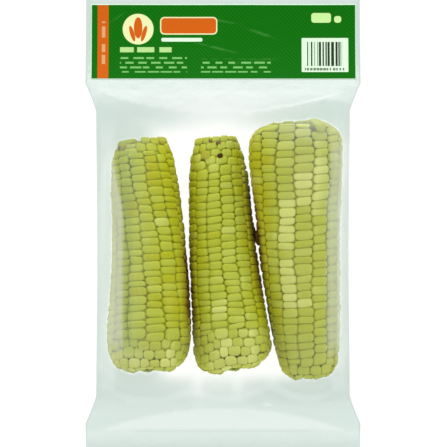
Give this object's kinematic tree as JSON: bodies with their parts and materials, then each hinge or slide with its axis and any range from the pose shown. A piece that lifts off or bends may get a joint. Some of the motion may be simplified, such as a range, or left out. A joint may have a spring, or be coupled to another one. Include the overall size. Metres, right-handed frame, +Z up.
{
  "type": "vacuum-packed corn on the cob",
  "caption": "Clear vacuum pouch drawn tight over boiled ears of corn lying side by side, with a flat printed header. It rests on its back.",
  "frame": {"origin": "on the resting surface, below the middle of the pouch", "axes": "+X across the pouch to the right of a reader, +Y along the ears towards the header, +Z up through the shown face"},
  "size_m": [0.16, 0.267, 0.0527],
  "materials": {
    "film_over_corn": "thin clear film over pale yellow kernels, glossy",
    "header_ink": "green ink under clear film, with an orange stripe and pale fields"
  },
  "bodies": {
    "root": {"sealed_pouch": "film_over_corn", "header_print": "header_ink"}
  },
  "joints": []
}
